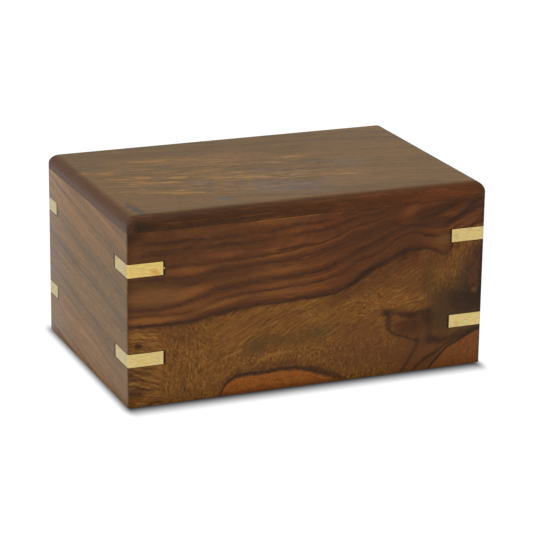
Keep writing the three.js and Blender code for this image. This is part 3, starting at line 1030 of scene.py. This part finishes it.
def eased_copy(node, name, ease_mm, material, slot):
    """A piece that stands for a node, with its sharp edges eased."""
    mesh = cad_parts[node].data.copy()
    edit = bmesh.new()
    edit.from_mesh(mesh)
    bmesh.ops.remove_doubles(edit, verts=edit.verts, dist=WELD)
    bmesh.ops.dissolve_limit(edit, angle_limit=FLAT_ANGLE, verts=edit.verts, edges=edit.edges)
    sharp = []
    for edge in edit.edges:
        middle = (edge.verts[0].co + edge.verts[1].co) / 2
        if edge.is_manifold and edge.calc_face_angle(0) > SHARP_ANGLE and not on_mitre(middle):
            sharp.append(edge)
    bmesh.ops.bevel(edit, geom=sharp, offset=ease_mm * MM, clamp_overlap=True, **ROUNDED)
    for face in edit.faces:
        face.smooth = True
    for edge in edit.edges:
        if edge.is_manifold:
            edge.smooth = edge.calc_face_angle(0) < SHARP_ANGLE
    edit.to_mesh(mesh)
    edit.free()
    mesh.materials.clear()
    mesh.materials.append(material)
    piece = bpy.data.objects.new(name, mesh)
    bpy.context.scene.collection.objects.link(piece)
    weighted = piece.modifiers.new("flat faces stay flat", "WEIGHTED_NORMAL")
    weighted.keep_sharp = True
    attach(piece, "root")
    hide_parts(node)


# %% Boards, keys and screws
BOARD_EASE = 0.08
KEY_EASE = 0.06

boards = {
    "front_wall": ("front", "rosewood_wall"),
    "back_wall": ("back", "rosewood_wall"),
    "left_wall": ("left", "rosewood_wall"),
    "right_wall": ("right", "rosewood_wall"),
    "top_board": ("top", "rosewood_top"),
    "bottom_board": ("base", "rosewood_base"),
}
for node, (kind, slot) in boards.items():
    eased_copy(node, node + "_sanded", BOARD_EASE, wood[kind], slot)
for node in sorted(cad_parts):
    if node.startswith("key_"):
        eased_copy(node, node + "_sanded", KEY_EASE, key_brass, "brass_key")
    if node.startswith("screw_"):
        eased_copy(node, node + "_turned", KEY_EASE, screw_brass, "brass_screw")

# %% [markdown]
# One key has a crumb of brass just past its inner end, a burr that was pressed into the wood when the keys
# were sanded flush.

# %% The burr beside the upper left key
BURR_SIZE = Vector((0.45, 0.4, 0.8)) * MM
BURR_FROM_KEY = 0.4 * MM
BURR_PROUD = 0.02 * MM
BURR_EASE = 0.1 * MM


def brass_burr(key):
    """A crumb of brass past the end of a key, level with the middle of the key."""
    first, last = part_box(key)
    past_end = last[0] + BURR_FROM_KEY
    under_face = first[1] + BURR_SIZE.y / 2 - BURR_PROUD
    place = Matrix.Translation((past_end, under_face, (first[2] + last[2]) / 2))
    edit = bmesh.new()
    bmesh.ops.create_cube(edit, size=1, matrix=place @ Matrix.Diagonal((*BURR_SIZE, 1)))
    bmesh.ops.bevel(edit, geom=edit.edges[:], offset=BURR_EASE, **ROUNDED)
    mesh = bpy.data.meshes.new("burr")
    edit.to_mesh(mesh)
    edit.free()
    mesh.materials.append(key_brass)
    burr = bpy.data.objects.new(key + "_burr", mesh)
    bpy.context.scene.collection.objects.link(burr)
    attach(burr, "root")


brass_burr("key_front_left_upper")

# %% [markdown]
# ## Floor, light and camera
#
# The urn stands on a white table that glows evenly, as a lit acrylic table does, so the only shadow is a
# short dark one close to the box. A real shadow would need a dark floor, so this one is worked out from
# the distance to the box's footprint: longer at the front than at the sides, and hidden at the back.

# %% The white table
FLOOR_SIZE = 6.0
SHADOW_SIDE = 4.9
SHADOW_FRONT = 11.6
# How far the shadow falls short of the box at the left and right ends and at the back
SHORT_LEFT = 0.85
SHORT_RIGHT = 2.6
SHORT_BACK = 5.0
# Where the shadow is darkest and where it ends, as shares of its reach
SHADOW_CORE = -0.12
SHADOW_END = 1.05
# How bright the table is to the camera and to the urn
FLOOR_SEEN = 1.05
FLOOR_LIGHT = 0.8


def white_table():
    """A glowing plane with the painted shadow. It belongs to the stage and not to the urn."""
    bpy.ops.mesh.primitive_plane_add(size=FLOOR_SIZE)
    floor = bpy.context.object
    floor.name = "white_table"
    glowing = {"Base Color": BLACK, "Specular IOR Level": 0.0, "Emission Strength": 1.0}
    material, shader, place, (x, y, _) = new_material("white_acrylic", glowing)
    aside = abs(x + (SHORT_RIGHT - SHORT_LEFT) / 2) - (LENGTH - SHORT_LEFT - SHORT_RIGHT) / 2
    ahead = abs(y + SHORT_BACK / 2) - (WIDTH - SHORT_BACK) / 2
    aside = aside.math("MAXIMUM", aside, 0.0) / SHADOW_SIDE
    ahead = ahead.math("MAXIMUM", ahead, 0.0) / SHADOW_FRONT
    open_light = (aside * aside + ahead * ahead).root().step(SHADOW_CORE, SHADOW_END)
    seen = place.node("LightPath", output="Is Camera Ray")
    link(shader, "Emission Color", open_light * (seen * (FLOOR_SEEN - FLOOR_LIGHT) + FLOOR_LIGHT))
    floor.data.materials.append(material)
    floor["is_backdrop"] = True


white_table()

# %% [markdown]
# Satin wood needs broad, soft light. One large panel hangs overhead and a weaker one stands to the left, as
# a window would, and the white room around them lights the rest.

# %% Soft lights
LIT_HEIGHT = 0.04


def softbox(name, place, size, watts):
    """A rectangular lamp that faces the middle of the urn."""
    light = bpy.data.lights.new(name, "AREA")
    light.shape = "RECTANGLE"
    light.size, light.size_y = size
    light.energy = watts
    lamp = bpy.data.objects.new(name, light)
    lamp.location = place
    aim = Vector((0, 0, LIT_HEIGHT)) - Vector(place)
    lamp.rotation_euler = aim.to_track_quat("-Z", "Y").to_euler()
    bpy.context.scene.collection.objects.link(lamp)


softbox("overhead", (-0.3, -0.5, 1.3), (1.2, 1.0), 9)
softbox("left_window", (-1.2, -0.4, 0.7), (0.8, 1.0), 6)

# %% The white room
WALLS_SEEN = 1.0
WALLS_LIGHT = 0.55


def white_studio():
    """A white room around the table, brighter to the camera than to the urn."""
    world = bpy.data.worlds.new("studio")
    world.use_nodes = True
    background = world.node_tree.nodes["Background"]
    background.inputs["Color"].default_value = WHITE
    seen = Field(world.node_tree).node("LightPath", output="Is Camera Ray")
    link(background, "Strength", seen * (WALLS_SEEN - WALLS_LIGHT) + WALLS_LIGHT)
    return world


scene = bpy.context.scene
scene.world = white_studio()
scene.view_settings.view_transform = "Standard"
scene.view_settings.look = "None"

# %% [markdown]
# The camera stands where the photographer's did: far off with a long lens, a little to the left and looking
# slightly down. It was fitted to the box's outline and to the corners of the keys.

# %% The camera
CAMERA_AIM = Vector((1.176, -1.775, 34.377)) * MM
CAMERA_DISTANCE = 0.98002
CAMERA_AZIMUTH = math.radians(22.335)
CAMERA_ELEVATION = math.radians(17.80)
CAMERA_ROLL = math.radians(0.692)
CAMERA_LENS = 161.93
CAMERA_NEAR = 0.05
SENSOR = 36


def photo_camera():
    """A long lens aimed at CAMERA_AIM from its azimuth, elevation and distance, slightly rolled."""
    camera = bpy.data.cameras.new("camera")
    camera.sensor_width = SENSOR
    camera.lens = CAMERA_LENS
    camera.clip_start = CAMERA_NEAR
    heading = Matrix.Rotation(-CAMERA_AZIMUTH, 4, "Z")
    pitch = Matrix.Rotation(math.pi / 2 - CAMERA_ELEVATION, 4, "X")
    roll = Matrix.Rotation(CAMERA_ROLL, 4, "Z")
    away = Matrix.Translation((0, 0, CAMERA_DISTANCE))
    holder = bpy.data.objects.new("camera", camera)
    holder.matrix_world = Matrix.Translation(CAMERA_AIM) @ heading @ pitch @ roll @ away
    scene.collection.objects.link(holder)
    scene.camera = holder


photo_camera()
print(f"a {CAMERA_LENS:.0f} mm lens, {CAMERA_DISTANCE:.2f} m away")

# %% [markdown]
# The finish must not change the urn's size, so the box of the finished model is kept beside the solids' box.

# %% Sizes of the solids and of the finished model
visual_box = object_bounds()
sizes = {"cad": [list(corner) for corner in cad_box], "visual": [list(corner) for corner in visual_box]}
print("visual box", sizes["visual"])
